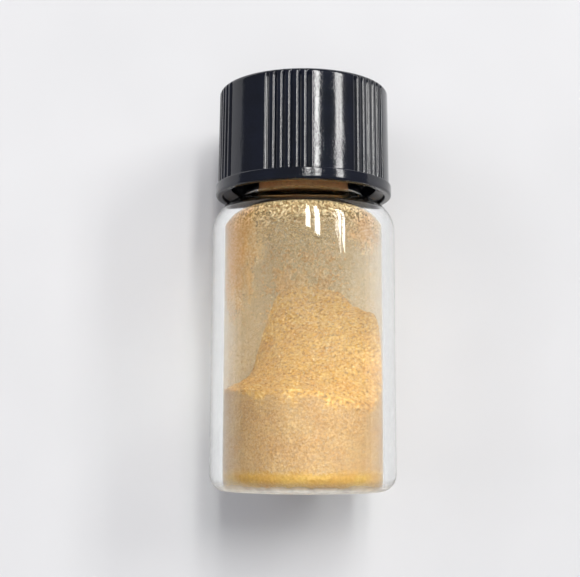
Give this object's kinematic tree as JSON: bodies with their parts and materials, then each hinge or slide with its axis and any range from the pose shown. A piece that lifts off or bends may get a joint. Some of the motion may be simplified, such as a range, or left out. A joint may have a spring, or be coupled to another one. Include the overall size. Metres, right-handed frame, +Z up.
{
  "type": "gold sample vial",
  "caption": "Clear glass screw-top vial with a ribbed black cap, lying on its side and holding a heap of fine gold dust. The cap unscrews and lifts off.",
  "frame": {"origin": "under the middle of the vial's length, on the surface that it lies on", "axes": "+Y along the vial's axis from base to cap, +Z up"},
  "size_m": [0.022, 0.048, 0.022],
  "materials": {
    "clear_glass": "clear, polished",
    "black_plastic": "moulded black, fine grain",
    "liner_foam": "closed-cell foam",
    "liner_facing": "smooth white film",
    "gold_dust": "loose metal powder",
    "gold_flake": "bright hammered flakes"
  },
  "bodies": {
    "vial": {"vial_body": "clear_glass", "gold_powder": "gold_dust", "gold_grains": "gold_flake", "gold_dust_film": "gold_dust"},
    "liner": {"liner_foam": "liner_foam", "liner_facing": "liner_facing"},
    "cap": {"cap_shell": "black_plastic"}
  },
  "joints": [
    {"name": "cap_lift", "type": "slide", "parent": "vial", "child": "liner", "axis": [0, 1, 0], "range_m": [0, 0.0127]},
    {"name": "cap_turn", "type": "hinge", "parent": "liner", "child": "cap", "pos_m": [0, 0, 0.011], "axis": [0, 1, 0], "range_deg": [0, 1440]}
  ],
  "couplings": [
    {"joint": "cap_lift", "follows": "cap_turn", "m_per_rad": 0.00050532}
  ]
}
